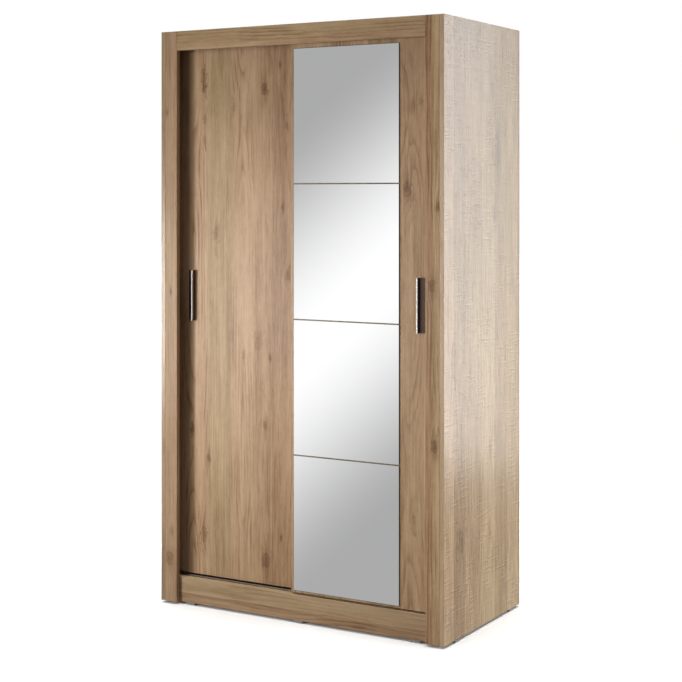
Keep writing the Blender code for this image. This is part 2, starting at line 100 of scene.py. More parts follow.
class Wiring:
    """Adds nodes to a tree. Each value is a number, a vector, a colour or another node's output."""

    def __init__(self, tree):
        self.tree = tree

    def add(self, kind, **settings):
        node = self.tree.nodes.new(kind)
        node.location = (180 * len(self.tree.nodes), 0)
        for name, value in settings.items():
            setattr(node, name, value)
        return node

    def join(self, socket, value):
        if isinstance(value, bpy.types.NodeSocket):
            self.tree.links.new(value, socket)
        else:
            socket.default_value = value

    def fill(self, node, values):
        """Joins values to the inputs that they name, and gives the node's first output."""
        for name, value in values.items():
            self.join(node.inputs[name], value)
        return node.outputs[0] if node.outputs else None

    def make(self, kind, values, **settings):
        """Adds a node with these values, and gives its first output."""
        return self.fill(self.add(kind, **settings), values)

    def math(self, operation, *values):
        return self.make("ShaderNodeMath", dict(enumerate(values)), operation=operation)

    def vector(self, operation, *values):
        node = self.add("ShaderNodeVectorMath", operation=operation)
        self.fill(node, dict(enumerate(values)))
        return node.outputs["Value" if operation in ("LENGTH", "DOT_PRODUCT") else "Vector"]

    def total(self, *values):
        result = values[0]
        for value in values[1:]:
            result = self.math("ADD", result, value)
        return result

    def times(self, first, second):
        return self.math("MULTIPLY", first, second)

    def less(self, first, second):
        return self.math("SUBTRACT", first, second)

    def swing(self, value, amount):
        """Moves a 0 to 1 pattern so that its middle is 0, and gives it that much reach."""
        return self.times(self.less(value, 0.5), amount)

    def combine(self, x, y, z):
        return self.make("ShaderNodeCombineXYZ", {"X": x, "Y": y, "Z": z})

    def noise(self, vector, stretch, detail=2.0, roughness=0.5):
        """Noise whose features are about 1 / stretch metres long in each direction."""
        scaled = self.vector("MULTIPLY", vector, stretch)
        values = {"Vector": scaled, "Scale": 1.0, "Detail": detail, "Roughness": roughness}
        return self.make("ShaderNodeTexNoise", values)

    def smooth(self, value, start, end, to_start=0.0, to_end=1.0):
        """A soft step from one value to another while the input goes from start to end."""
        values = {0: value, 1: start, 2: end, 3: to_start, 4: to_end}
        return self.make("ShaderNodeMapRange", values, interpolation_type="SMOOTHSTEP")

    def ramp(self, value, stops):
        """A colour ramp. Each stop is a place from 0 to 1 and a colour."""
        node = self.add("ShaderNodeValToRGB")
        elements = node.color_ramp.elements
        while len(elements) < len(stops):
            elements.new(0.5)
        for element, (place, colour) in zip(elements, stops):
            element.position = place
            element.color = (*colour, 1.0)
        return self.fill(node, {0: value})

    def mix(self, amount, first, second, blend="MIX"):
        """Mixes two colours. The colour sockets of a Mix node are its seventh and eighth."""
        node = self.add("ShaderNodeMix", data_type="RGBA", blend_type=blend)
        self.fill(node, {0: amount, 6: opaque(first), 7: opaque(second)})
        return node.outputs[2]


print("wiring helper ready")

# %% [markdown]
# ## The studio
#
# The floor is a plain pale sheet. The sky is a studio wall: a mid grey room with one broad soft glow, which
# leans from lower left to upper right. Wood shows little of it, but the mirror tiles repeat it exactly, so
# it is what makes them look like glass. The glow is painted by direction: the dot product of the view
# direction with the normal of a tilted plane is 0 along the glow's middle line, and grows on both sides. A
# few weaker strips stand in other directions, so that the glass has something to show from any side.
#
# A studio can be bright for the mirror and dim for the wood, because black flags keep light off what should
# stay dark. The Light Path node does the flags' work here: rays that leave a matt surface see a dimmer room
# than reflections do, and the camera sees plain white, so the wardrobe stands on a white page.

# %% Floor and sky
MIRROR_ROOM = 0.445
MATT_ROOM = 0.13
GLOW_WHITE = 1.13
GLOW_HALF_WIDTH = math.radians(6.8)
FLOOR_WIDTH = 60.0
GLOW_LOW_END = Vector((-2.94, -4.55, -0.60))
GLOW_HIGH_END = Vector((-2.53, -4.55, -0.27))
SIDE_GLOWS = ((8.0, 9.0), (-20.0, 8.0), (-55.0, 12.0), (62.0, 10.0))  # turn and half width, in degrees
SIDE_GLOW_WHITE = 0.92
SIDE_GLOW_LEAN = 0.35


def make_floor():
    bpy.ops.mesh.primitive_plane_add(size=FLOOR_WIDTH)
    floor = bpy.context.object
    floor.name = "studio_floor"
    floor.visible_glossy = False
    floor.visible_diffuse = False
    material = bpy.data.materials.new("pale_floor")
    material.use_nodes = True
    shader = material.node_tree.nodes["Principled BSDF"]
    shader.inputs["Base Color"].default_value = (0.86, 0.86, 0.86, 1.0)
    shader.inputs["Roughness"].default_value = 0.9
    floor.data.materials.append(material)


def side_glow(wire, direction, turn, half_width):
    """A soft leaning strip of light, in one direction of the room."""
    turn, half_width = math.radians(turn), math.radians(half_width)
    across = Vector((math.cos(turn), -math.sin(turn), SIDE_GLOW_LEAN)).normalized()
    towards = (-math.sin(turn), -math.cos(turn), 0.0)
    away = wire.math("ABSOLUTE", wire.vector("DOT_PRODUCT", direction, tuple(across)))
    strip = wire.smooth(away, math.sin(half_width), 0.0, 0.0, SIDE_GLOW_WHITE)
    return wire.times(strip, wire.smooth(wire.vector("DOT_PRODUCT", direction, towards), 0.6, 0.9))


def make_sky():
    world = bpy.data.worlds.new("studio")
    scene.world = world
    world.use_nodes = True
    tree = world.node_tree
    tree.nodes.clear()
    wire = Wiring(tree)
    direction = wire.add("ShaderNodeTexCoord").outputs["Generated"]
    across_glow = GLOW_LOW_END.normalized().cross(GLOW_HIGH_END.normalized()).normalized()
    side = wire.vector("DOT_PRODUCT", direction, tuple(across_glow))
    away = wire.math("ABSOLUTE", side)
    room = wire.smooth(away, math.sin(GLOW_HALF_WIDTH), 0.0, MIRROR_ROOM, GLOW_WHITE)
    for turn, half_width in SIDE_GLOWS:
        room = wire.math("MAXIMUM", room, side_glow(wire, direction, turn, half_width))
    path = wire.add("ShaderNodeLightPath").outputs
    reflected = wire.combine(room, room, room)
    matt = wire.mix(path["Is Diffuse Ray"], reflected, (MATT_ROOM, MATT_ROOM, MATT_ROOM))
    colour = wire.mix(path["Is Camera Ray"], matt, (1.0, 1.0, 1.0))
    shine = wire.make("ShaderNodeBackground", {"Color": colour})
    wire.make("ShaderNodeOutputWorld", {"Surface": shine})


make_floor()
make_sky()
scene.view_settings.view_transform = "Standard"
print("floor and sky ready")

# %% [markdown]
# ## The lights
#
# Five soft lights do the work. The key lamp stands at the left at handle height, so the left door is
# brightest in its middle, and the deep stile throws a soft shadow on it. A large fill lamp far off at the
# left lightens all of the front. A tall softbox stands behind the wardrobe to the right, where the side
# panel mirrors it: at such a low angle even a matt decor shines, and its saw marks show. A low lamp at the
# right gives that panel its own colour, and a wide soft light overhead whitens the floor.
#
# The fill lamp and the low lamp are left out of reflections, as a photographer hides a lamp behind a
# screen. The key lamp has to shine on the wood, but an opened mirror door would show it as a hard white
# patch. Light linking solves that: the tiles are in the lamp's collection as exceptions, so it lights
# everything else.

# %% Lamps


def aim(data, name, place, target):
    """Puts a lamp at a place, turns it towards a target and keeps it out of the picture."""
    obj = bpy.data.objects.new(name, data)
    obj.location = place
    obj.rotation_euler = (Vector(target) - Vector(place)).to_track_quat("-Z", "Y").to_euler()
    obj.visible_camera = False
    scene.collection.objects.link(obj)
    return obj


def softbox(name, place, target, size, power, spread=180.0):
    """A flat rectangular lamp. Its size is in metres, its power in watts and its spread in degrees."""
    data = bpy.data.lights.new(name, "AREA")
    data.shape = "RECTANGLE"
    data.size, data.size_y = size
    data.energy = power
    data.spread = math.radians(spread)
    return aim(data, name, place, target)


def overhead_light(strength, angle):
    """Light from straight above, whose shadows are as soft as a sky this many degrees wide makes them."""
    data = bpy.data.lights.new("overhead_light", "SUN")
    data.energy = strength
    data.angle = math.radians(angle)
    return aim(data, "overhead_light", (0.0, 0.0, 5.0), (0.0, 0.0, 0.0))


def named(*starts):
    """The names of the CAD nodes that start in one of these ways."""
    return [name for name in nodes if name.startswith(starts)]


def hide_from_tiles(lamp):
    """Light linking: the lamp lights every object but the mirror tiles."""
    exceptions = bpy.data.collections.new("not_lit_by_" + lamp.name)
    for name in named("mirror_tile"):
        exceptions.objects.link(nodes[name])
    for item in exceptions.collection_objects:
        item.light_linking.link_state = "EXCLUDE"
    lamp.light_linking.receiver_collection = exceptions


key_lamp = softbox("key_lamp", (-1.60, -2.3, 1.0), (0.05, -0.25, 0.95), (0.40, 0.9), 10.5, 85)
fill_lamp = softbox("fill_lamp", (-2.0, -5.6, 2.0), (0.3, -0.3, 1.1), (2.0, 2.2), 102)
fill_lamp.visible_glossy = False
side_lamp = softbox("side_lamp", (2.6, 0.1, 0.45), (0.6, 0.0, 0.35), (1.6, 0.8), 29)
side_lamp.visible_glossy = False
softbox("shine_softbox", (1.95, 2.1, 1.50), (0.6, -0.3, 1.3), (0.8, 2.8), 22)
overhead_light(3.9, 35)
hide_from_tiles(key_lamp)

# %% [markdown]
# ## Oak decor
#
# The boards are chipboard with a printed oak surface. The print shows planks glued side by side, each cut
# from its own place in the tree, so each has its own tone and its own figure. A plank cut near the heart
# shows tall arches, and one cut further out shows straight lines.
#
# Both come from one rule. Growth rings are tubes round the heart, so a point's ring depends only on its
# distance from the heart: across the board, and down into the tree. If the depth changes slowly along the
# plank, the tubes are cut at a slant, and their cut edges are the arches. A knot pushes the rings aside, so
# the grain flows round it.

# %% Oak node group
PLANK_W = 0.105
RING_W = 0.013
OAK_TONES = [
    (0.00, (0.105, 0.050, 0.022)),
    (0.28, (0.205, 0.112, 0.051)),
    (0.50, (0.325, 0.202, 0.107)),
    (0.62, (0.400, 0.259, 0.145)),
    (0.80, (0.480, 0.329, 0.199)),
    (1.00, (0.555, 0.406, 0.268)),
]
RING_SHADE = [(0.0, 1.0), (0.12, 0.55), (0.40, 0.12), (0.84, 0.0), (1.0, 1.0)]
SEED_STEP = (1.37, 2.11)
FIGURE_SPREAD = 37.0
HEART_OFFSET = 0.085
HEART_STRAY = 0.05
SLANT = 0.20
SLANT_PACE = 0.7
BEND = 0.045
RIPPLE = 0.009
RING_STRENGTH = (0.12, 0.34)
MIDDLE_SHADE = 0.64
PLANK_REACH = 0.32
PORE_SHADE = -0.09
LAYERS = {  # stretch across, along and in depth, detail, roughness, and how far the layer moves the shade
    "fibre": ((230.0, 7.0, 230.0), 3.0, 0.6, 0.40),
    "streak": ((85.0, 2.2, 85.0), 3.0, 0.55, 0.34),
    "cloud": ((10.0, 1.0, 10.0), 1.0, 0.5, 0.38),
    "band": ((30.0, 2.4, 30.0), 2.0, 0.6, 0.46),
    "mottle": ((60.0, 22.0, 60.0), 2.0, 0.6, 0.20),
}


def new_group(name, inputs, outputs):
    """An empty node group with float inputs, and outputs given as (name, kind)."""
    tree = bpy.data.node_groups.new(name, "ShaderNodeTree")
    for title in inputs:
        tree.interface.new_socket(title, in_out="INPUT", socket_type="NodeSocketFloat")
    for title, kind in outputs:
        tree.interface.new_socket(title, in_out="OUTPUT", socket_type=kind)
    return tree


def ring_figure(wire, place, across, along, plank, push):
    """Growth rings cut by the face of each plank: 1 at a ring's dark edge, 0 between."""
    plank_middle, cut_luck, figure_luck = plank
    from_middle = wire.less(across, plank_middle)
    off_heart = wire.smooth(cut_luck, 0.45, 0.60, 0.0, HEART_OFFSET)
    sideways = wire.total(from_middle, wire.swing(figure_luck, HEART_STRAY), off_heart)
    start = wire.math("MULTIPLY_ADD", figure_luck, FIGURE_SPREAD, along)
    values = {"W": start, "Scale": SLANT_PACE, "Detail": 1.0}
    drift = wire.make("ShaderNodeTexNoise", values, noise_dimensions="1D")
    into_tree = wire.swing(drift, SLANT)
    from_heart = wire.vector("LENGTH", wire.combine(sideways, into_tree, 0.0))
    bend = wire.swing(wire.noise(place, (9.0, 1.6, 9.0)), BEND)
    ripple = wire.swing(wire.noise(place, (60.0, 7.0, 60.0)), RIPPLE)
    ring_place = wire.total(from_heart, bend, ripple, push)
    ring = wire.math("FRACT", wire.math("DIVIDE", ring_place, RING_W))
    return wire.ramp(ring, [(stop, (value, value, value)) for stop, value in RING_SHADE])


def oak_decor_group():
    inputs = ("Across", "Along", "Depth", "Seed", "Knot push", "Knot dark")
    outputs = (("Colour", "NodeSocketColor"), ("Height", "NodeSocketFloat"), ("Roughness", "NodeSocketFloat"))
    tree = new_group("oak_decor", inputs, outputs)
    wire = Wiring(tree)
    given = wire.add("NodeGroupInput").outputs
    across = wire.math("MULTIPLY_ADD", given["Seed"], SEED_STEP[0], given["Across"])
    along = wire.math("MULTIPLY_ADD", given["Seed"], SEED_STEP[1], given["Along"])
    place = wire.combine(across, along, given["Depth"])

    planks = wire.add("ShaderNodeTexVoronoi", voronoi_dimensions="1D")
    wire.fill(planks, {"W": across, "Scale": 1 / PLANK_W, "Randomness": 0.75})
    luck = wire.add("ShaderNodeSeparateColor")
    wire.join(luck.inputs[0], planks.outputs["Color"])
    tone_luck, cut_luck, figure_luck = luck.outputs

    plank = (planks.outputs["W"], cut_luck, figure_luck)
    rings = ring_figure(wire, place, across, along, plank, given["Knot push"])
    layers = {name: wire.noise(place, *texture) for name, (*texture, reach) in LAYERS.items()}
    fibre = layers["fibre"]
    pore = wire.smooth(wire.noise(place, (900.0, 48.0, 900.0), 1.0), 0.60, 0.70)

    worn = wire.smooth(wire.noise(place, (16.0, 3.0, 16.0), 1.0), 0.38, 0.62)
    ring_strength = wire.times(worn, wire.smooth(figure_luck, 0.0, 1.0, *RING_STRENGTH))
    swings = [wire.swing(layers[name], reach) for name, (*texture, reach) in LAYERS.items()]
    pores = wire.times(pore, PORE_SHADE)
    shade = wire.total(MIDDLE_SHADE, wire.swing(tone_luck, PLANK_REACH), *swings, pores)
    shade = wire.less(shade, wire.times(rings, ring_strength))
    shade = wire.less(shade, given["Knot dark"])
    wood = wire.ramp(shade, OAK_TONES)
    tint = wire.mix(cut_luck, (1.035, 0.975, 0.985), (0.97, 1.02, 0.96))
    colour = wire.mix(1.0, wood, tint, "MULTIPLY")

    grain = wire.total(wire.times(fibre, 0.5), wire.times(rings, -0.25))
    height = wire.less(grain, wire.times(pore, 0.6))
    roughness = wire.total(0.46, wire.swing(fibre, 0.14), wire.times(pore, 0.15))
    wire.make("NodeGroupOutput", {"Colour": colour, "Height": height, "Roughness": roughness})
    return tree


OAK_DECOR = oak_decor_group()
print("oak decor nodes:", len(OAK_DECOR.nodes))

# %% [markdown]
# ### Knots
#
# A knot is the foot of a branch. It has a small dark core with a ragged, darker rim, and above and below it
# the wood is darker for a hand's width, because the grain had to find its way round. One node group draws
# one knot, and a board with eight knots uses the group eight times, each with its own place, size and
# darkness.

# %% Knot node group
KNOT_SCALE = 1.2
RAGGEDNESS = 2.6
CORE_SHADE = 0.17
RIM_SHADE = 0.16
HALO_SHADE = 0.22
BULGE = 1.6
CORE_TALL = 1.7
RIM_AT = 1.1
HALO_WIDE = 2.3
HALO_TALL = 8.0


def knot_group():
    inputs = ("Across", "Along", "At across", "At along", "Size", "Tone")
    outputs = (("Push", "NodeSocketFloat"), ("Dark", "NodeSocketFloat"))
    tree = new_group("oak_knot", inputs, outputs)
    wire = Wiring(tree)
    given = wire.add("NodeGroupInput").outputs
    rough = wire.noise(wire.combine(given["Across"], given["Along"], 0.0), (95.0, 42.0, 1.0), 2.0, 0.6)
    ragged = wire.times(wire.swing(rough, RAGGEDNESS), given["Size"])
    aside = wire.total(wire.less(given["Across"], given["At across"]), ragged)
    above = wire.less(given["Along"], given["At along"])
    aside = wire.math("DIVIDE", aside, given["Size"])
    above = wire.math("DIVIDE", above, given["Size"])
    core = wire.vector("LENGTH", wire.combine(aside, wire.math("DIVIDE", above, CORE_TALL), 0.0))
    halo_aside = wire.math("DIVIDE", aside, HALO_WIDE)
    halo = wire.vector("LENGTH", wire.combine(halo_aside, wire.math("DIVIDE", above, HALO_TALL), 0.0))
    from_rim = wire.math("ABSOLUTE", wire.less(core, RIM_AT))
    rim = wire.smooth(from_rim, 0.40, 0.0, 0.0, RIM_SHADE)
    pith = wire.smooth(core, 1.1, 0.3, 0.0, CORE_SHADE)
    dark = wire.total(pith, wire.smooth(halo, 1.0, 0.0, 0.0, HALO_SHADE), rim)
    bulge = wire.smooth(halo, 1.3, 0.0, 0.0, BULGE)
    push = wire.times(bulge, given["Size"])
    wire.make("NodeGroupOutput", {"Push": push, "Dark": wire.times(dark, given["Tone"])})
    return tree


OAK_KNOT = knot_group()


def add_knots(wire, across, along, knots):
    """How far the knots push the rings, and how much they darken the wood."""
    push = 0.0
    dark = 0.0
    for at_across, at_along, size, tone in knots:
        knot = wire.add("ShaderNodeGroup", node_tree=OAK_KNOT)
        values = {"Across": across, "Along": along, "Size": KNOT_SCALE * size, "Tone": tone}
        wire.fill(knot, {**values, "At across": at_across, "At along": at_along})
        push = wire.math("ADD", knot.outputs["Push"], push)
        dark = wire.math("ADD", knot.outputs["Dark"], dark)
    return push, dark


print("knot nodes:", len(OAK_KNOT.nodes))

# %% [markdown]
# ### One board, one cut of the decor
#
# Each board reads the print along its own grain. Upright boards have grain along Z, and the fascia, the
# plinth and the shelves have it along X. A board's seed moves it to another place on the print, so no two
# boards repeat. Knots are placed one by one, as a designer picks the sheets for the fronts: each is a place
# across, a place along, a size, and how dark it is.

# %% Oak boards
GRAIN = {
    "upright_front": ("X", "Z", "Y"),
    "upright_side": ("Y", "Z", "X"),
    "level_front": ("Z", "X", "Y"),
    "level_flat": ("Y", "X", "Z"),
}
GRAIN_DEPTH = 0.00022
FRONT_SHINE = 0.32
SAWN_SHINE = 1.0
SAWN_POLISH = 0.21


def new_material(name):
    """A material, its wiring, its shader, and the place of the point that is being shaded."""
    material = bpy.data.materials.new(name)
    material.use_nodes = True
    wire = Wiring(material.node_tree)
    place = wire.add("ShaderNodeTexCoord").outputs["Object"]
    return material, wire, material.node_tree.nodes["Principled BSDF"], place


def paint(wire, shader, colour, roughness, metallic=0.0):
    wire.fill(shader, {"Base Color": colour, "Roughness": roughness, "Metallic": metallic})


def axes_of(wire, vector):
    node = wire.add("ShaderNodeSeparateXYZ")
    wire.join(node.inputs[0], vector)
    return node.outputs


def bump(wire, shader, height, distance):
    normal = wire.make("ShaderNodeBump", {"Height": height, "Distance": distance})
    wire.join(shader.inputs["Normal"], normal)


def dress(material, *names):
    """Gives CAD nodes this material in place of their plain one."""
    for name in names:
        nodes[name].data.materials.clear()
        nodes[name].data.materials.append(material)


def oak_board(name, grain, seed, knots=(), sawn=0.0, tone=1.0):
    """Gives a board its own cut of the decor. sawn is how strongly saw marks show, tone scales the colour."""
    material, wire, shader, place = new_material("oak_" + name)
    axes = axes_of(wire, place)
    across, along, depth = (axes[axis] for axis in GRAIN[grain])
    push, dark = add_knots(wire, across, along, knots)
    decor = wire.add("ShaderNodeGroup", node_tree=OAK_DECOR)
    values = {"Across": across, "Along": along, "Depth": depth, "Seed": seed}
    wire.fill(decor, {**values, "Knot push": push, "Knot dark": dark})
    colour = decor.outputs["Colour"]
    height = decor.outputs["Height"]
    roughness = decor.outputs["Roughness"]
    if sawn:
        marks, relief = saw_marks(wire, across, along, sawn)
        # The saw marks' colour holds a painted shadow and a painted highlight along each groove.
        colour = wire.mix(1.0, colour, marks, "MULTIPLY")
        height = wire.total(wire.times(height, 0.5), relief)
        roughness = wire.less(roughness, SAWN_POLISH)
    if tone != 1.0:
        colour = wire.mix(1.0, colour, (tone, tone, tone), "MULTIPLY")
    paint(wire, shader, colour, roughness)
    shader.inputs["Specular IOR Level"].default_value = SAWN_SHINE if sawn else FRONT_SHINE
    bump(wire, shader, height, GRAIN_DEPTH)
    dress(material, name)


print("board helper ready, grain axes:", sorted(GRAIN))

# %% [markdown]
# ### Saw marks
#
# The sides carry a saw-cut version of the decor: short rows of lines across the grain, as a band saw leaves
# them, crossed by fine upright scratches. They come in patches. Each line is a stretched noise with only
# its peaks kept. The same noise, read a little higher up, is taken away again. This paints a shadow along
# one edge of every groove and a highlight along the other, on top of the groove's bump.

# %% Saw marks
GROOVE_SHIFT = 0.0022
SAWN_TINT = (0.985, 1.02, 0.965)
GROOVE_RELIEF = 0.17
SCRATCH_RELIEF = 0.22
# How far the grooves' painted highlight and painted shadow lighten and darken the colour.
GROOVE_PAINTED_LIGHT = 0.46
SCRATCH_SHADE = -0.26


def saw_marks(wire, across, along, strength):
    """The marks' colour, with a painted shadow and a painted highlight along each groove, and their relief.
    They fade out on the board's narrow edges, which no saw touched.
    """
    normal = wire.add("ShaderNodeTexCoord").outputs["Normal"]
    sideways = wire.math("ABSOLUTE", axes_of(wire, normal)["X"])
    strength = wire.smooth(sideways, 0.6, 0.9, 0.0, strength)
    flat = wire.combine(across, along, 0.0)
    raised = wire.combine(across, wire.math("ADD", along, GROOVE_SHIFT), 0.0)
    grooves = []
    for place in (flat, raised):
        lines = wire.noise(place, (15.0, 105.0, 1.0), 1.0)
        grooves.append(wire.smooth(lines, 0.57, 0.63))
    patch = wire.smooth(wire.noise(flat, (6.0, 4.5, 1.0), 1.0), 0.40, 0.58)
    # Painted light: above 0 along one edge of each groove and below 0 along the other, so the colour gets a
    # painted highlight and a painted shadow there.
    edge = wire.times(wire.less(grooves[0], grooves[1]), patch)
    scratch = wire.smooth(wire.noise(flat, (130.0, 7.0, 1.0), 2.0), 0.44, 0.66)
    relief = wire.total(wire.times(edge, GROOVE_RELIEF), wire.times(scratch, SCRATCH_RELIEF))
    shade = wire.total(wire.times(edge, GROOVE_PAINTED_LIGHT), wire.swing(scratch, SCRATCH_SHADE))
    light = wire.math("MULTIPLY_ADD", shade, strength, 1.0)
    return wire.combine(*(wire.times(light, part) for part in SAWN_TINT)), wire.times(relief, strength)


LEFT_DOOR_KNOTS = (
    (-0.174, 1.930, 0.0085, 1.1),
    (-0.108, 2.015, 0.0045, 0.9),
    (-0.452, 1.990, 0.0100, 0.8),
    (-0.448, 1.945, 0.0075, 0.9),
    (-0.446, 1.825, 0.0065, 0.7),
    (-0.446, 1.745, 0.0060, 0.7),
    (-0.313, 1.867, 0.0060, 0.6),
    (-0.077, 1.791, 0.0050, 0.7),
    (-0.395, 1.395, 0.0085, 0.75),
    (-0.395, 1.325, 0.0050, 0.5),
    (-0.073, 1.248, 0.0070, 0.7),
    (-0.095, 1.496, 0.0042, 0.9),
    (-0.205, 1.005, 0.0140, 0.55),
    (-0.267, 0.946, 0.0055, 0.7),
    (-0.152, 0.941, 0.0040, 1.0),
    (-0.427, 0.550, 0.0052, 1.0),
    (-0.502, 0.655, 0.0060, 1.0),
    (-0.174, 0.690, 0.0065, 1.0),
    (-0.450, 0.260, 0.0110, 0.8),
    (-0.169, 0.197, 0.0100, 1.0),
    (-0.103, 0.285, 0.0040, 0.9),
)
RIGHT_DOOR_KNOTS = ((0.445, 1.560, 0.0105, 1.0), (0.470, 0.420, 0.0060, 0.6), (0.500, 1.860, 0.0050, 0.6))
LEFT_STILE_KNOTS = ((-0.572, 1.849, 0.0042, 0.8), (-0.555, 1.174, 0.0042, 0.9), (-0.552, 0.274, 0.0060, 0.7))
LEFT_STILE_KNOTS += ((-0.562, 0.170, 0.0100, 1.1),)
RIGHT_STILE_KNOTS = ((0.554, 1.231, 0.0080, 0.9), (0.577, 1.500, 0.0060, 1.1), (0.565, 0.684, 0.0085, 1.0))
RIGHT_SIDE_KNOTS = (
    (0.105, 1.700, 0.0230, 0.75),
    (0.085, 1.470, 0.0120, 0.8),
    (0.077, 1.919, 0.0130, 0.6),
    (-0.031, 2.118, 0.0070, 0.5),
    (-0.235, 1.010, 0.0100, 0.5),
    (0.055, 0.620, 0.0090, 0.55),
    (-0.180, 0.340, 0.0150, 0.6),
    (0.050, 0.330, 0.0070, 0.5),
)
oak_board("door_panel_left", "upright_front", 1.0, LEFT_DOOR_KNOTS)
oak_board("door_panel_right", "upright_front", 2.3, RIGHT_DOOR_KNOTS)
oak_board("stile_left", "upright_front", 3.1, LEFT_STILE_KNOTS, tone=0.85)
oak_board("stile_right", "upright_front", 4.7, RIGHT_STILE_KNOTS, tone=1.2)
oak_board("fascia_top", "level_front", 5.2)
oak_board("plinth_front", "level_front", 6.4, tone=0.88)
oak_board("side_panel_left", "upright_side", 7.7, RIGHT_SIDE_KNOTS[2:5], sawn=1.0)
oak_board("side_panel_right", "upright_side", 8.9, RIGHT_SIDE_KNOTS, sawn=1.0)
oak_board("partition", "upright_side", 9.3)
LEVEL_BOARDS = ("top_panel", "bottom_panel", "hat_shelf", "shelf_1", "shelf_2", "shelf_3", "shelf_4")
for number, name in enumerate(LEVEL_BOARDS):
    oak_board(name, "level_flat", 10.0 + 0.7 * number)
oak_board("plinth_rear", "level_front", 16.2)
print("oak boards:", sum(m.name.startswith("oak_") for m in bpy.data.materials))

# %% [markdown]
# ## Mirror tiles
#
# Each tile is 4 mm float glass, silvered behind, with its edges ground. From the front it is a plain
# mirror, so the shader is a smooth metal with the faint green-grey of glass. The edges are ground, and a
# grinding belt also takes a millimetre or so off the corner to the front. Both are coloured dark: partly
# the dull look of ground glass, and partly painted shade that stands in for the shadow in the seams
# between the tiles. This dark rim is what draws the thin lines between the tiles. The back is painted grey.
# So the finish changes with the depth of a point in the tile, and with its distance from the nearest edge.
# Each tile has its own material, because each has its own edges.

# %% Mirror
GROUND_EDGE = 0.0005
BACK_PAINT = 0.0006
ARRIS = 0.0014
BACK_GREY = (0.16, 0.16, 0.15)
GROUND_DULL = 0.45


def mirror_glass(name):
    """Silver in front, and dark matt edges and front corners, partly the grey of the glass's grinding and
    partly painted seam shade. Grey paint behind.
    """
    material, wire, shader, place = new_material("silvered_" + name)
    low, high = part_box(name)
    axes = axes_of(wire, place)
    depth = axes["Y"]
    across = wire.math("MINIMUM", wire.less(axes["X"], low.x), wire.less(high.x, axes["X"]))
    along = wire.math("MINIMUM", wire.less(axes["Z"], low.z), wire.less(high.z, axes["Z"]))
    inset = wire.math("MINIMUM", across, along)
    sides = wire.smooth(depth, low.y + 0.2 * GROUND_EDGE, low.y + GROUND_EDGE)
    edge = wire.math("MAXIMUM", sides, wire.smooth(inset, ARRIS, 0.6 * ARRIS))
    painted = wire.smooth(depth, high.y - BACK_PAINT, high.y - 0.5 * BACK_PAINT)
    bloom = wire.noise(place, (2.0, 2.0, 2.0))
    silver = wire.mix(bloom, (0.900, 0.903, 0.912), (0.915, 0.915, 0.918))
    grit = wire.noise(place, (900.0, 900.0, 90.0))
    # Dark colour of the edges and the front corner: partly ground glass, partly painted shade for the seams
    # between tiles.
    edge_grey_and_seam_shade = wire.mix(grit, (0.045, 0.050, 0.046), (0.11, 0.12, 0.11))
    colour = wire.mix(edge, silver, edge_grey_and_seam_shade)
    colour = wire.mix(painted, colour, BACK_GREY)
    paint(wire, shader, colour, wire.smooth(edge, 0.0, 1.0, 0.0, GROUND_DULL), wire.less(1.0, edge))
    return material


for name in named("mirror_tile"):
    dress(mirror_glass(name), name)
print("mirror tiles:", len(named("mirror_tile")))

# %% [markdown]
# ## Metals
#
# Every metal here is drawn, rolled or extruded, and that leaves fine lines along its length. So one helper
# makes them all: noise stretched along an axis, used for the colour, the gloss and a very shallow bump.
# Chrome has almost no lines, anodised aluminium has soft ones, and zinc plating has a cloudy bloom instead.
# The bottom track is dyed brown in the anodising bath, so it doesn't gleam below the doors.
#
# The handles have two finishes. Their long outer edge is bright, partly polished and partly a painted
# highlight of the lit front, and all the rest is dark bronze. The left handle's edge is painted dimmer, as
# painted shade.

# %% Metals
EDGE_POLISH_AND_HIGHLIGHT = ((0.78, 0.75, 0.72), (1.0, 0.97, 0.94))
BRIGHT_EDGE_DEPTH = 0.0012
ALONG_BAR = (9.0, 2200.0, 2200.0)


def drawn_metal(name, dark, light, roughness, stretch, depth=0.00006, cloud=60.0):
    """A metal with drawing lines. stretch is the lines' scale in x, y and z, smallest along the piece."""
    material, wire, shader, place = new_material(name)
    lines = wire.noise(place, stretch, 3.0, 0.6)
    bloom = wire.noise(place, (cloud, cloud, cloud), 2.0, 0.6)
    gloss = wire.total(roughness, wire.swing(lines, roughness * 0.5), wire.swing(bloom, roughness * 0.3))
    paint(wire, shader, wire.mix(bloom, dark, light), gloss, 1.0)
    bump(wire, shader, lines, depth)
    return material


def handle_bronze(name, front, polish_and_light):
    """Dark bronze with a bright edge, its foremost millimetre: partly a polished edge, partly a painted
    highlight. polish_and_light is how bright that edge is; a low value paints the edge in shade.
    """
    material, wire, shader, place = new_material(name)
    depth = axes_of(wire, place)["Y"]
    edge = wire.smooth(depth, front + BRIGHT_EDGE_DEPTH, front + 0.5 * BRIGHT_EDGE_DEPTH)
    lines = wire.noise(place, (2600.0, 2600.0, 22.0), 3.0, 0.6)
    bloom = wire.noise(place, (90.0, 90.0, 40.0), 2.0, 0.6)
    bronze = wire.mix(bloom, (0.12, 0.085, 0.066), (0.18, 0.135, 0.108))
    # The bright edge colour: partly a polished edge, partly a painted highlight.
    bright = wire.mix(lines, *(tuple(polish_and_light * part for part in colour) for colour in EDGE_POLISH_AND_HIGHLIGHT))
    gloss = wire.total(0.34, wire.times(edge, 0.10), wire.swing(lines, 0.12))
    paint(wire, shader, wire.mix(edge, bronze, bright), gloss, 1.0)
    bump(wire, shader, lines, 0.00004)
    return material


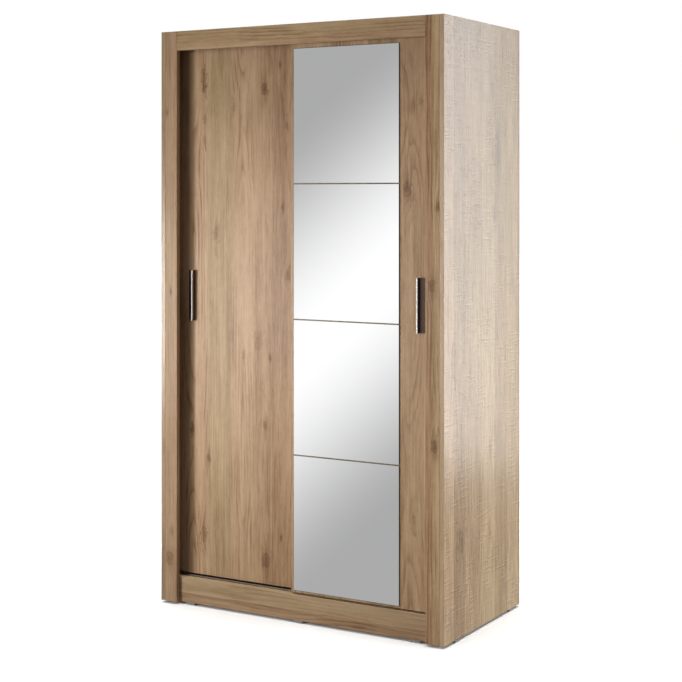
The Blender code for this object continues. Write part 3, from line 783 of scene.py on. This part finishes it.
ALUMINIUM = drawn_metal("anodised_aluminium", (0.52, 0.51, 0.50), (0.62, 0.61, 0.59), 0.34, ALONG_BAR)
BROWN_ANODISED = drawn_metal("brown_anodised", (0.10, 0.080, 0.064), (0.14, 0.115, 0.092), 0.46, ALONG_BAR)
CHROME_LINES = (14.0, 1800.0, 1800.0)
CHROME = drawn_metal("chromed_rail", (0.78, 0.78, 0.79), (0.86, 0.86, 0.86), 0.09, CHROME_LINES, 0.00002)
ZINC_GRAIN = (700.0, 700.0, 700.0)
ZINC = drawn_metal("bright_zinc", (0.50, 0.50, 0.47), (0.66, 0.66, 0.66), 0.30, ZINC_GRAIN, 0.00004, 340.0)
dress(CHROME, "hanging_rail")
dress(ZINC, "rail_socket_left", "rail_socket_right")
dress(ZINC, *named("roller_axle"))
print("metals:", ALUMINIUM.name, CHROME.name, ZINC.name)

# %% [markdown]
# ## Plastics
#
# Feet, stops, roller housings and guides are moulded in a tool with a sparked surface, so they have a fine
# dull grain, and a slightly uneven gloss where the plastic cooled. The wheels are turned-looking white
# nylon: their mould leaves rings round the axle, which a sine of the distance from the axle draws. That
# distance has to be measured from each wheel's own axle, so each wheel has its own material.

# %% Plastics
RING_PITCH = 0.0009


def moulded_plastic(name, dark, light, roughness):
    material, wire, shader, place = new_material(name)
    grain = wire.noise(place, (1500.0, 1500.0, 1500.0), 2.0, 0.7)
    flow = wire.noise(place, (55.0, 55.0, 55.0), 2.0, 0.6)
    gloss = wire.total(roughness, wire.swing(flow, 0.14), wire.swing(grain, 0.10))
    paint(wire, shader, wire.mix(flow, dark, light), gloss)
    bump(wire, shader, grain, 0.00008)
    return material


def middle(name):
    """The middle of a CAD node's box."""
    low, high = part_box(name)
    return (low + high) / 2


def nylon_wheel(name):
    material, wire, shader, place = new_material("nylon_" + name)
    from_middle = wire.vector("SUBTRACT", place, tuple(middle(name)))
    radius = wire.vector("LENGTH", wire.vector("MULTIPLY", from_middle, (1.0, 0.0, 1.0)))
    rings = wire.math("SINE", wire.times(radius, 2 * math.pi / RING_PITCH))
    flow = wire.noise(place, (120.0, 120.0, 120.0), 2.0, 0.6)
    gloss = wire.total(0.36, wire.swing(flow, 0.10), wire.times(rings, 0.05))
    paint(wire, shader, wire.mix(flow, (0.70, 0.69, 0.63), (0.80, 0.79, 0.75)), gloss)
    wire.fill(shader, {"Subsurface Weight": 0.15, "Subsurface Scale": 0.002})
    bump(wire, shader, rings, 0.00005)
    return material


BLACK_PLASTIC = moulded_plastic("black_plastic_moulded", (0.018, 0.018, 0.019), (0.034, 0.034, 0.035), 0.48)
GREY_PLASTIC = moulded_plastic("grey_glide_plastic", (0.19, 0.18, 0.18), (0.27, 0.26, 0.26), 0.55)
dress(GREY_PLASTIC, *named("foot_"))
dress(BLACK_PLASTIC, *named("track_stop", "roller_housing", "top_guide"))
for name in named("roller_wheel"):
    dress(nylon_wheel(name), name)
print("wheels:", named("roller_wheel"))

# %% [markdown]
# ## The back panels
#
# The back is thin hardboard. Its inner face has a pale foil with a faint grain, which brightens the inside.
# Its outer face is bare: pressed brown fibres, with the print of the fine wire screen that it dried on. Two
# waves at right angles, multiplied, make that print.

# %% Hardboard
SCREEN_PITCH = 0.0016
FOIL_FADES = (0.0008, 0.0012)
BARE_TONES = [(0.0, (0.13, 0.072, 0.040)), (0.5, (0.225, 0.135, 0.078)), (1.0, (0.33, 0.21, 0.13))]
FOIL_TONES = [(0.0, (0.50, 0.42, 0.32)), (1.0, (0.68, 0.60, 0.49))]


def hardboard():
    material, wire, shader, place = new_material("hardboard")
    inner_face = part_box("back_panel_left")[0].y
    axes = axes_of(wire, place)
    bare = wire.smooth(axes["Y"], *(inner_face + depth for depth in FOIL_FADES))
    waves = [wire.math("SINE", wire.times(axes[axis], 2 * math.pi / SCREEN_PITCH)) for axis in ("X", "Z")]
    screen = wire.times(wire.times(waves[0], waves[1]), bare)
    fibres = wire.noise(place, (260.0, 260.0, 260.0), 4.0, 0.7)
    cloud = wire.noise(place, (9.0, 9.0, 9.0), 3.0, 0.6)
    grain = wire.noise(place, (160.0, 160.0, 3.0), 3.0, 0.6)
    brown_shade = wire.total(0.5, wire.swing(fibres, 0.9), wire.swing(cloud, 0.6), wire.times(screen, 0.10))
    brown = wire.ramp(brown_shade, BARE_TONES)
    foil_shade = wire.total(0.5, wire.swing(grain, 0.8), wire.swing(cloud, 0.4))
    foil = wire.ramp(foil_shade, FOIL_TONES)
    gloss = wire.total(0.50, wire.times(bare, 0.25), wire.swing(fibres, 0.10))
    paint(wire, shader, wire.mix(bare, foil, brown), gloss)
    bump(wire, shader, wire.total(wire.times(screen, 0.6), wire.times(fibres, 0.4)), 0.00016)
    return material


dress(hardboard(), "back_panel_left", "back_panel_right")
print("back panels: 2")

# %% [markdown]
# ## Geometry Nodes, and how their result is kept
#
# What repeats, or follows a path, is made by Geometry Nodes. Each tree starts from something small: a few
# points, an outline or a rectangle. The helper below makes an empty tree with named inputs. The second one
# puts the tree on an object as a modifier, sets its inputs, takes the finished shape as a plain mesh, and
# removes the modifier.
#
# A tree that places copies ends with Realize Instances, because a mesh file can't hold instances.

# %% Geometry Nodes helpers
FLOAT = "NodeSocketFloat"
VECTOR = "NodeSocketVector"
INTEGER = "NodeSocketInt"
MATERIAL = "NodeSocketMaterial"
MERGE_DISTANCE = 1e-6
SHARP_ANGLE = math.radians(35)


def geometry_tree(name, inputs):
    """An empty tree with a geometry input, these named inputs, and a geometry output."""
    tree = bpy.data.node_groups.new(name, "GeometryNodeTree")
    tree.interface.new_socket("Geometry", in_out="INPUT", socket_type="NodeSocketGeometry")
    for title, kind in inputs.items():
        tree.interface.new_socket(title, in_out="INPUT", socket_type=kind)
    tree.interface.new_socket("Geometry", in_out="OUTPUT", socket_type="NodeSocketGeometry")
    wire = Wiring(tree)
    return tree, wire, wire.add("NodeGroupInput").outputs


def finish_tree(wire, shape, material):
    """Ends a tree: copies become real, and get their material."""
    real = wire.make("GeometryNodeRealizeInstances", {"Geometry": shape})
    painted = wire.make("GeometryNodeSetMaterial", {"Geometry": real, "Material": material})
    wire.make("NodeGroupOutput", {"Geometry": painted})


def finish_copies(wire, points, shape, rotation, material):
    """Ends a tree with a copy of the shape at every point."""
    values = {"Points": points, "Instance": shape, "Rotation": rotation}
    finish_tree(wire, wire.make("GeometryNodeInstanceOnPoints", values), material)


def outward(mesh):
    """Turns every closed shell's faces outwards and rounds its shading, except at sharp edges."""
    form = bmesh.new()
    form.from_mesh(mesh)
    bmesh.ops.remove_doubles(form, verts=form.verts, dist=MERGE_DISTANCE)
    bmesh.ops.recalc_face_normals(form, faces=form.faces)
    form.to_mesh(mesh)
    form.free()
    mesh.shade_smooth()
    mesh.set_sharp_from_angle(angle=SHARP_ANGLE)


def grow(name, start, tree, values, body):
    """Runs a tree on a mesh or curve, keeps the shape as a plain mesh, and hangs it on a body."""
    seedling = bpy.data.objects.new(name + "_start", start)
    scene.collection.objects.link(seedling)
    modifier = seedling.modifiers.new("grow", "NODES")
    modifier.node_group = tree
    for item in tree.interface.items_tree:
        if item.item_type == "SOCKET" and item.in_out == "INPUT" and item.name in values:
            modifier[item.identifier] = values[item.name]
    graph = bpy.context.evaluated_depsgraph_get()
    mesh = bpy.data.meshes.new_from_object(seedling.evaluated_get(graph), depsgraph=graph)
    seedling.modifiers.clear()
    bpy.data.objects.remove(seedling)
    mesh.name = name
    outward(mesh)
    piece = bpy.data.objects.new(name, mesh)
    scene.collection.objects.link(piece)
    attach(piece, body)
    print(name, "faces:", len(mesh.polygons))
    return piece


print("geometry helpers ready")

# %% [markdown]
# ## Extrusions: the tracks and the handles
#
# Tracks and handles are aluminium pressed through a die, so each is one outline carried along a straight
# line. The tree does the same. Fillet Curve rounds the outline's corners, as a die's corners always are,
# and Curve to Mesh carries it along a line and closes both ends. The outline is drawn flat in X and Y. The
# tracks lie along X, so their tree turns the finished bar.

# %% Extrusion tree


def extrusion_tree():
    inputs = {"From": FLOAT, "To": FLOAT, "Corner radius": FLOAT, "Corner steps": INTEGER, "Turn": VECTOR}
    tree, wire, given = geometry_tree("extrusion", {**inputs, "Finish": MATERIAL})
    ends = {"Start": given["From"], "End": given["To"]}
    ends = {end: wire.combine(0.0, 0.0, height) for end, height in ends.items()}
    line = wire.make("GeometryNodeCurvePrimitiveLine", ends)
    values = {"Curve": given["Geometry"], "Count": given["Corner steps"], "Radius": given["Corner radius"]}
    outline = wire.make("GeometryNodeFilletCurve", {**values, "Limit Radius": True}, mode="POLY")
    sweep = {"Curve": line, "Profile Curve": outline, "Fill Caps": True}
    bar = wire.make("GeometryNodeCurveToMesh", sweep)
    turned = wire.make("GeometryNodeTransform", {"Geometry": bar, "Rotation": given["Turn"]})
    finish_tree(wire, turned, given["Finish"])
    return tree


EXTRUSION = extrusion_tree()
CORNER_STEPS = 3
ALONG_X = (math.radians(90), 0.0, math.radians(90))
UPRIGHT = (0.0, 0.0, 0.0)


def outline_curve(name, points):
    """A closed flat curve through corner points."""
    curve = bpy.data.curves.new(name, "CURVE")
    curve.dimensions = "3D"
    spline = curve.splines.new("POLY")
    spline.points.add(len(points) - 1)
    for point, (a, b) in zip(spline.points, points):
        point.co = (a, b, 0.0, 1.0)
    spline.use_cyclic_u = True
    return curve


def extrude(node, points, start, end, radius, turn, material, body):
    """An extruded bar that stands for a CAD node of the same size."""
    values = {"From": start, "To": end, "Corner radius": radius, "Corner steps": CORNER_STEPS, "Turn": turn}
    values["Finish"] = material
    piece = grow(node + "_profile", outline_curve(node, points), EXTRUSION, values, body)
    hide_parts(node)
    return piece


print("extrusion tree nodes:", len(EXTRUSION.nodes))

# %% [markdown]
# ### The two tracks
#
# The bottom track is a thin strip with two ridges, one under each door's wheels. The top track has two
# channels, open below, which keep the tongues at the doors' heads in line. Their places come from the
# frame: the wheels' middles give the two lines, and each track's box gives its edges.

# %% Tracks
TRACK_CORNER = 0.00045
BASE_THICK = 0.0012
RIDGE_HALF = 0.0015
TOP_PLATE = 0.0018
CHANNEL_SLOT_HALF = 0.0045
CHANNEL_OUTER_HALF = 0.0060


def track(node, outline, material):
    """Extrudes a track's outline over the length of the node that it stands for."""
    low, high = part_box(node)
    extrude(node, outline, low.x, high.x, TRACK_CORNER, ALONG_X, material, "cabinet")


RAIL_LINES = [middle(f"roller_wheel_{side}_inner").y for side in ("right", "left")]


def bottom_track():
    low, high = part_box("bottom_track")
    base = low.z + BASE_THICK
    outline = [(low.y, base), (low.y, low.z), (high.y, low.z), (high.y, base)]
    for line in reversed(RAIL_LINES):
        outline += [(line + RIDGE_HALF, base), (line + RIDGE_HALF, high.z)]
        outline += [(line - RIDGE_HALF, high.z), (line - RIDGE_HALF, base)]
    track("bottom_track", outline, BROWN_ANODISED)


def top_track():
    low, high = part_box("top_track")
    plate = high.z - TOP_PLATE
    outline = [(low.y, high.z), (low.y, plate)]
    lips = ((-CHANNEL_OUTER_HALF, -CHANNEL_SLOT_HALF), (CHANNEL_SLOT_HALF, CHANNEL_OUTER_HALF))
    for line in RAIL_LINES:
        for lip in lips:
            start, end = (line + side for side in lip)
            outline += [(start, plate), (start, low.z), (end, low.z), (end, plate)]
    outline += [(high.y, plate), (high.y, high.z)]
    track("top_track", outline, ALUMINIUM)


bottom_track()
top_track()
print("rail lines at y =", [round(y, 4) for y in RAIL_LINES])

# %% [markdown]
# ### The handles
#
# A handle is an angle profile: a wall to push against, which stands out from the door, and a flange behind
# the fingers that takes the screws. The wall is the side nearer the middle of the wardrobe.

# %% Handles
# How bright each handle's edge is painted: the left one dimmer, as painted shade, the right one brighter, as
# a painted highlight.
HANDLE_POLISH_AND_SHADE = {"left": 0.19, "right": 0.38}
HANDLE_CORNER = 0.0006
HANDLE_WALL = 0.006
FLANGE_THICK = 0.002


def handle(side):
    node = "handle_" + side
    low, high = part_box(node)
    inner, outer, wall = (low.x, high.x, HANDLE_WALL) if side == "right" else (high.x, low.x, -HANDLE_WALL)
    flange = high.y - FLANGE_THICK
    outline = [(inner, low.y), (inner + wall, low.y), (inner + wall, flange)]
    outline += [(outer, flange), (outer, high.y), (inner, high.y)]
    bronze = handle_bronze("bronze_" + node, low.y, HANDLE_POLISH_AND_SHADE[side])
    extrude(node, outline, low.z, high.z, HANDLE_CORNER, UPRIGHT, bronze, "door_" + side)


handle("left")
handle("right")

# %% [markdown]
# ## Screws
#
# Each fitting is held by cross-recess screws. A screw's head is a low cone with its recess cut out: two
# crossed blocks, taken away by a Mesh Boolean. Instance on Points puts a head at every point. Each point
# carries an attribute, facing, which says which way its head looks, and Align Rotation to Vector turns the
# head that way. No fitter leaves all the crosses in line, so a random turn with a fixed seed comes first.
#
# The same tree makes the caps of the cam locks. Those are wider and flatter, and have a single slot.

# %% Fastener tree
FASTENER_SEED = 7
HEAD_SIDES = 24
UP = (0.0, 0.0, 1.0)


def look_outwards(wire):
    """The turn that makes a copy look the way that its point's facing says."""
    facing = wire.add("GeometryNodeInputNamedAttribute", data_type="FLOAT_VECTOR")
    facing.inputs["Name"].default_value = "facing"
    look = wire.add("FunctionNodeAlignRotationToVector", axis="Z")
    return wire.fill(look, {"Vector": facing.outputs["Attribute"]})


def random_value(wire, kind, values):
    """A random value for each point. The node has sockets for every kind, and this kind's are enabled."""
    node = wire.add("FunctionNodeRandomValue", data_type=kind)
    for title, value in values.items():
        wire.join(next(s for s in node.inputs if s.name == title and s.enabled), value)
    return next(s for s in node.outputs if s.enabled)


def cone_head(wire, sides, radius, share, height):
    """A head as a low cone. share is the width of its top as a share of its foot."""
    values = {"Vertices": sides, "Radius Top": wire.times(radius, share), "Radius Bottom": radius}
    return wire.make("GeometryNodeMeshCone", {**values, "Depth": height}, fill_type="NGON")


def fastener_tree():
    head_sizes = ("Head radius", "Top share", "Head height")
    recess_sizes = ("Recess length", "Recess width", "Second length", "Recess depth")
    inputs = dict.fromkeys(head_sizes + recess_sizes, FLOAT)
    tree, wire, given = geometry_tree("fasteners", {**inputs, "Finish": MATERIAL})
    head = cone_head(wire, HEAD_SIDES, given["Head radius"], given["Top share"], given["Head height"])
    arms = []
    deep = wire.times(given["Recess depth"], 2.0)
    for x, y in (("Recess length", "Recess width"), ("Recess width", "Second length")):
        size = wire.combine(given[x], given[y], deep)
        block = wire.make("GeometryNodeMeshCube", {"Size": size})
        move = {"Geometry": block, "Translation": wire.combine(0.0, 0.0, given["Head height"])}
        arms.append(wire.make("GeometryNodeTransform", move))
    cut = wire.add("GeometryNodeMeshBoolean", operation="DIFFERENCE")
    wire.join(cut.inputs["Mesh 1"], head)
    for arm in arms:
        wire.join(cut.inputs["Mesh 2"], arm)
    angle = random_value(wire, "FLOAT", {"Min": 0.0, "Max": math.pi, "Seed": FASTENER_SEED})
    spin = wire.make("FunctionNodeAxisAngleToRotation", {"Axis": UP, "Angle": angle})
    turns = {"Rotation": look_outwards(wire), "Rotate By": spin}
    rotation = wire.make("FunctionNodeRotateRotation", turns, rotation_space="LOCAL")
    finish_copies(wire, given["Geometry"], cut.outputs["Mesh"], rotation, given["Finish"])
    return tree


FASTENERS = fastener_tree()
SCREW = {"Head radius": 0.0036, "Top share": 0.62, "Head height": 0.0011, "Recess length": 0.0036}
SCREW.update({"Recess width": 0.0008, "Second length": 0.0036, "Recess depth": 0.0008, "Finish": ZINC})
print("fastener tree nodes:", len(FASTENERS.nodes))

# %% [markdown]
# ### Where the screws go
#
# A fitting's box says where its screws go. The points are a mesh with no faces: only corners, each with its
# facing. Heads that move with a door are made apart from those on the cabinet, because a piece rides on one
# body.

# %% Screws
BACKWARDS = (0.0, 1.0, 0.0)
DOWN = (0.0, 0.0, -1.0)
TRACK_SCREWS = 5
TRACK_SCREW_END = 0.050
HOUSING_SCREW_INSET = 0.009
GUIDE_SCREW_INSET = 0.012
HANDLE_SCREW_INSET = 0.030
GUIDE_PLATE = 0.0033
GUIDE_SCREW_RISE = 0.008


def points_mesh(name, points):
    """A mesh of loose points. Each is a place and the way that it faces."""
    mesh = bpy.data.meshes.new(name)
    mesh.from_pydata([place for place, facing in points], [], [])
    attribute = mesh.attributes.new("facing", "FLOAT_VECTOR", "POINT")
    attribute.data.foreach_set("vector", [value for place, facing in points for value in facing])
    return mesh


def evenly(start, end, count):
    return [start + (end - start) * step / (count - 1) for step in range(count)]


def door_screws(side):
    door_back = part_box("door_panel_" + side)[1].y
    points = []
    for end in ("inner", "outer"):
        low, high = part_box(f"roller_housing_{side}_{end}")
        for x in (low.x + HOUSING_SCREW_INSET, high.x - HOUSING_SCREW_INSET):
            points.append(((x, high.y, high.z - HOUSING_SCREW_INSET), BACKWARDS))
        low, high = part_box(f"top_guide_{side}_{end}")
        plate = door_back + GUIDE_PLATE
        for x in (low.x + GUIDE_SCREW_INSET, high.x - GUIDE_SCREW_INSET):
            points.append(((x, plate, low.z + GUIDE_SCREW_RISE), BACKWARDS))
    low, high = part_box("handle_" + side)
    for z in (low.z + HANDLE_SCREW_INSET, high.z - HANDLE_SCREW_INSET):
        points.append((((low.x + high.x) / 2, door_back, z), BACKWARDS))
    name = "door_screws_" + side
    grow(name, points_mesh(name, points), FASTENERS, SCREW, "door_" + side)


def track_screws():
    points = []
    between = sum(RAIL_LINES) / 2
    low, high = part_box("bottom_track")
    for x in evenly(low.x + TRACK_SCREW_END, high.x - TRACK_SCREW_END, TRACK_SCREWS):
        points.append(((x, between, low.z + BASE_THICK), UP))
    low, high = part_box("top_track")
    for x in evenly(low.x + TRACK_SCREW_END, high.x - TRACK_SCREW_END, TRACK_SCREWS):
        points.append(((x, between, high.z - TOP_PLATE), DOWN))
    for name in named("track_stop"):
        low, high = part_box(name)
        points.append((((low.x + high.x) / 2, (low.y + high.y) / 2, high.z), UP))
    grow("track_screws", points_mesh("track_screws", points), FASTENERS, SCREW, "cabinet")


door_screws("left")
door_screws("right")
track_screws()

# %% [markdown]
# ## Cam locks
#
# The carcass is held together by cam locks. Each is a round metal cam sunk in a board, which pulls a bolt
# in the next board tight, and a plastic cap with a slot covers it. They sit in pairs under the top and
# under the hat shelf, close to the boards that they hold.

# %% Cam lock caps
CAP = {"Head radius": 0.0088, "Top share": 0.90, "Head height": 0.0010, "Recess length": 0.0090}
CAP.update({"Recess width": 0.0016, "Second length": 0.0016, "Recess depth": 0.0006})
CAP["Finish"] = moulded_plastic("brown_cap_plastic", (0.20, 0.125, 0.075), (0.27, 0.175, 0.11), 0.5)
CAM_FROM_EDGE = 0.034
CAM_FROM_ENDS = 0.060


def cam_caps():
    points = []
    side_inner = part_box("side_panel_right")[0].x
    partition_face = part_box("partition")[1].x
    right_bay = (partition_face + CAM_FROM_EDGE, side_inner - CAM_FROM_EDGE)
    bays = {"hat_shelf": right_bay, "top_panel": (*right_bay, *(-x for x in right_bay))}
    shelf_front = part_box("hat_shelf")[0].y
    for node, columns in bays.items():
        low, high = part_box(node)
        for x in columns:
            for y in (shelf_front + CAM_FROM_ENDS, high.y - CAM_FROM_ENDS):
                points.append(((x, y, low.z), DOWN))
    grow("cam_lock_caps", points_mesh("cam_lock_caps", points), FASTENERS, CAP, "cabinet")


cam_caps()

# %% [markdown]
# ## Shelf pins
#
# Loose shelves lie on steel pins pushed into the side panel and the partition. A pin is a short rod with a
# collar, and a Mesh Boolean joins the two into one closed body. There are four under each shelf.

# %% Shelf pins
PIN_SIDES = 20


def pin_tree():
    sizes = ("Rod radius", "Rod length", "Collar radius", "Collar length")
    tree, wire, given = geometry_tree("shelf_pins", {**dict.fromkeys(sizes, FLOAT), "Finish": MATERIAL})
    rounds = []
    for radius, length in (("Rod radius", "Rod length"), ("Collar radius", "Collar length")):
        values = {"Vertices": PIN_SIDES, "Radius": given[radius], "Depth": given[length]}
        rod = wire.make("GeometryNodeMeshCylinder", values, fill_type="NGON")
        moved = {"Geometry": rod, "Translation": wire.combine(0.0, 0.0, wire.times(given[length], 0.5))}
        rounds.append(wire.make("GeometryNodeTransform", moved))
    joined = wire.add("GeometryNodeMeshBoolean", operation="UNION")
    for shape in rounds:
        wire.join(joined.inputs["Mesh 2"], shape)
    finish_copies(wire, given["Geometry"], joined.outputs["Mesh"], look_outwards(wire), given["Finish"])
    return tree


PIN = {"Rod radius": 0.0025, "Rod length": 0.0075, "Collar radius": 0.0040, "Collar length": 0.0010}
PIN["Finish"] = ZINC
PIN_FROM_ENDS = 0.050
PIN_PLAY = 0.0002


def shelf_pins():
    points = []
    side_face = -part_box("side_panel_right")[0].x
    partition_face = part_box("partition")[0].x
    for number in range(1, 5):
        low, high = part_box(f"shelf_{number}")
        z = low.z - PIN["Collar radius"] - PIN_PLAY
        for y in (low.y + PIN_FROM_ENDS, high.y - PIN_FROM_ENDS):
            points += [((side_face, y, z), (1.0, 0.0, 0.0)), ((partition_face, y, z), (-1.0, 0.0, 0.0))]
    grow("shelf_pins", points_mesh("shelf_pins", points), pin_tree(), PIN, "cabinet")


shelf_pins()

# %% [markdown]
# ## Nails in the back
#
# The back panels are nailed all round. The tree starts from a rectangle that runs a little inside each
# panel's edge. Resample Curve puts a point at every step of the nailing distance, and Instance on Points
# sets a small domed head there. A hammer never lands twice in one place, so each point first moves a
# millimetre or so at random, with a fixed seed.

# %% Nail tree
NAIL_SEED = 3
NAIL_SIDES = 12
NAIL_TOP_SHARE = 0.55


def nail_tree():
    inputs = dict.fromkeys(("Spacing", "Head radius", "Head height", "Stray"), FLOAT)
    tree, wire, given = geometry_tree("nails", {**inputs, "Finish": MATERIAL})
    run = wire.make("GeometryNodeMeshToCurve", {"Mesh": given["Geometry"]})
    steps = {"Curve": run, "Length": given["Spacing"]}
    line = wire.make("GeometryNodeResampleCurve", steps, mode="LENGTH")
    points = wire.make("GeometryNodeCurveToPoints", {"Curve": line}, mode="EVALUATED")
    stray = wire.combine(given["Stray"], 0.0, given["Stray"])
    least = wire.vector("MULTIPLY", stray, (-1.0, -1.0, -1.0))
    offset = random_value(wire, "FLOAT_VECTOR", {"Min": least, "Max": stray, "Seed": NAIL_SEED})
    placed = wire.make("GeometryNodeSetPosition", {"Geometry": points, "Offset": offset})
    head = cone_head(wire, NAIL_SIDES, given["Head radius"], NAIL_TOP_SHARE, given["Head height"])
    finish_copies(wire, placed, head, (math.radians(-90), 0.0, 0.0), given["Finish"])
    return tree


NAIL_INSET = 0.009
NAIL = {"Spacing": 0.078, "Head radius": 0.0022, "Head height": 0.0005, "Stray": 0.0012, "Finish": ZINC}


def back_nails(side):
    low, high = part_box("back_panel_" + side)
    left, right = low.x + NAIL_INSET, high.x - NAIL_INSET
    foot, head = low.z + NAIL_INSET, high.z - NAIL_INSET
    corners = [(left, high.y, foot), (right, high.y, foot), (right, high.y, head), (left, high.y, head)]
    mesh = bpy.data.meshes.new("nail_line")
    mesh.from_pydata(corners, [(0, 1), (1, 2), (2, 3), (3, 0)], [])
    grow("back_nails_" + side, mesh, NAILS, NAIL, "cabinet")


NAILS = nail_tree()
back_nails("left")
back_nails("right")
